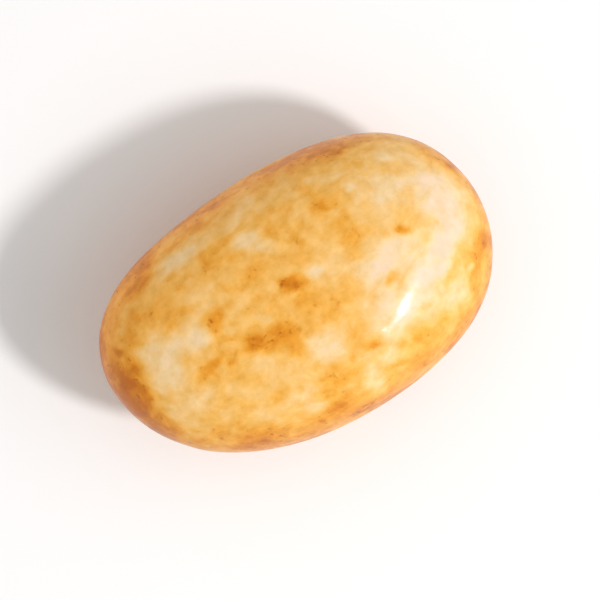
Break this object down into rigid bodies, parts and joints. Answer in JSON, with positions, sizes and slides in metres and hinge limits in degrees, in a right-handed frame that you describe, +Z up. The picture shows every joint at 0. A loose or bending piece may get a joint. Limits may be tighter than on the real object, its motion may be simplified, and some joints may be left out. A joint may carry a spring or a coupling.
{
  "type": "chocolate-covered almond",
  "caption": "Whole almond in a smooth, glossy coat marbled in cream and caramel; an egg-shaped sweet that lies on its flatter side.",
  "frame": {"origin": "on the surface that the almond lies on, under the middle of its outline as seen from above", "axes": "+X along the length towards the blunt end, +Y across it towards the side that the narrow end's tip leans to, +Z up from the flatter side that it lies on"},
  "size_m": [0.029, 0.0188, 0.0153],
  "materials": {
    "marbled_coat": "glossy chocolate coat, cream and golden caramel in cloudy marbling with a few brown patches and specks, slightly uneven"
  },
  "bodies": {
    "root": {"coated_almond": "marbled_coat"}
  },
  "joints": []
}
